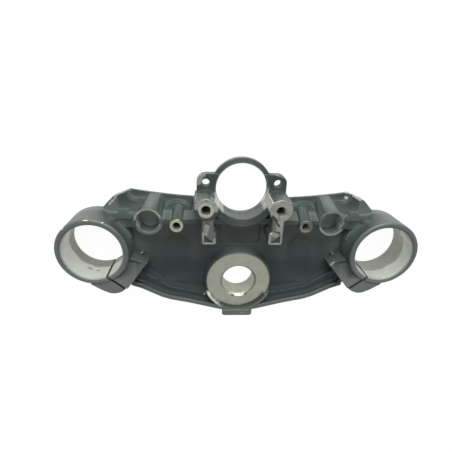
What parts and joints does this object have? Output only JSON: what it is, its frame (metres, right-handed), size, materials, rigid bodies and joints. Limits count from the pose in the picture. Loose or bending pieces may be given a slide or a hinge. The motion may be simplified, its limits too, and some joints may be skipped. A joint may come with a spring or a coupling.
{
  "type": "motorcycle upper triple clamp",
  "caption": "Cast upper fork yoke with split fork clamps, a steering-stem boss, an ignition-lock ring and ribbed underside, lying on its top face.",
  "frame": {"origin": "on the steering-stem axis, at the flat top face that the part lies on", "axes": "+X along the line of the fork clamps, +Y towards the ignition-lock ring, +Z along the stem axis, out of the ribbed underside"},
  "size_m": [0.2544, 0.1232, 0.028],
  "materials": {
    "painted_casting": "satin dark grey paint, worn to bare aluminium on machined faces and edges"
  },
  "bodies": {
    "root": {"upper_triple_clamp": "painted_casting"}
  },
  "joints": []
}
